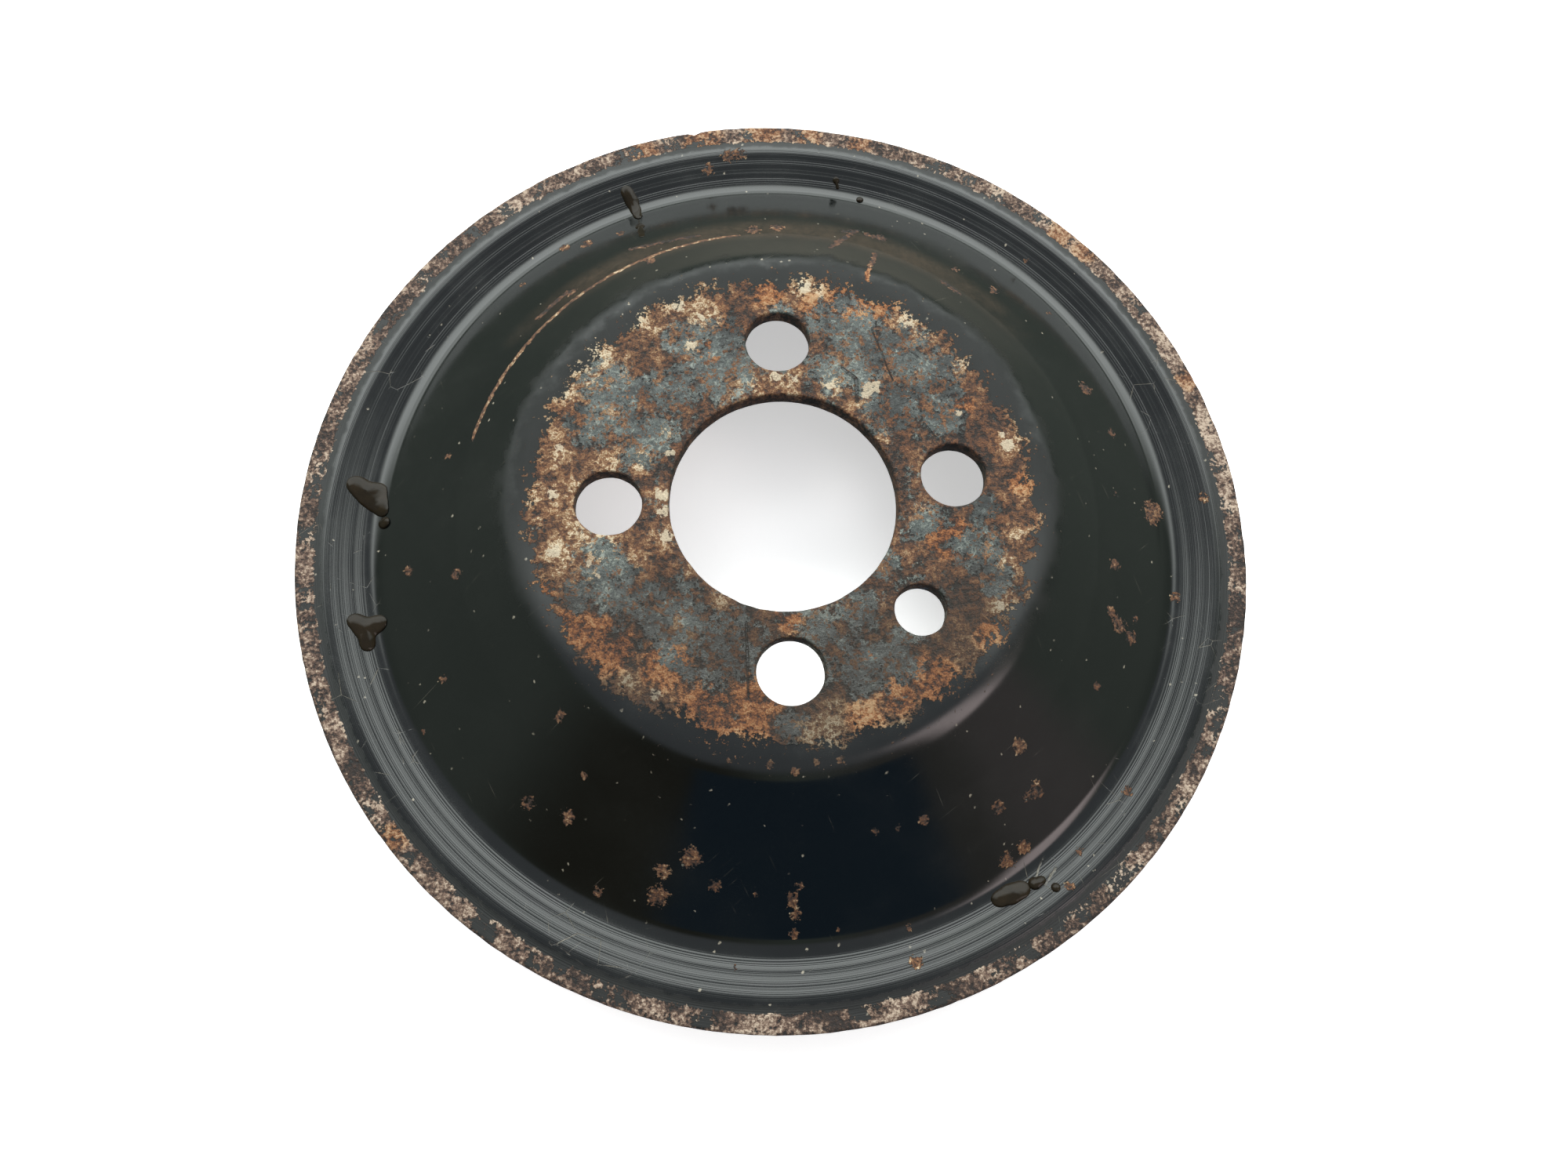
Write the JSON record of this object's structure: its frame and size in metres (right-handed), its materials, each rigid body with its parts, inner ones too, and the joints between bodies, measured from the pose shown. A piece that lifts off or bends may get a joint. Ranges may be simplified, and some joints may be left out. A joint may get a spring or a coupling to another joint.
{
  "type": "v belt pulley",
  "caption": "Pressed-steel V-belt pulley with a raised dished hub, large centre bore, bolt holes set off for one-way fitting and a locating hole.",
  "frame": {"origin": "centre of the bore on the hub's rear seat face", "axes": "+Z along the rotation axis towards the front of the pulley, +Y towards the first bolt hole"},
  "size_m": [0.13, 0.13, 0.0263],
  "materials": {
    "painted_sheet": "glossy black-green paint with rust on the hub and rim",
    "bare_steel": "plain weld steel"
  },
  "bodies": {
    "root": {"front_pressing": "painted_sheet", "rear_pressing": "painted_sheet", "spot_weld_1": "bare_steel", "spot_weld_2": "bare_steel", "spot_weld_3": "bare_steel", "spot_weld_4": "bare_steel", "spot_weld_5": "bare_steel", "spot_weld_6": "bare_steel", "spot_weld_7": "bare_steel", "spot_weld_8": "bare_steel"}
  },
  "joints": []
}
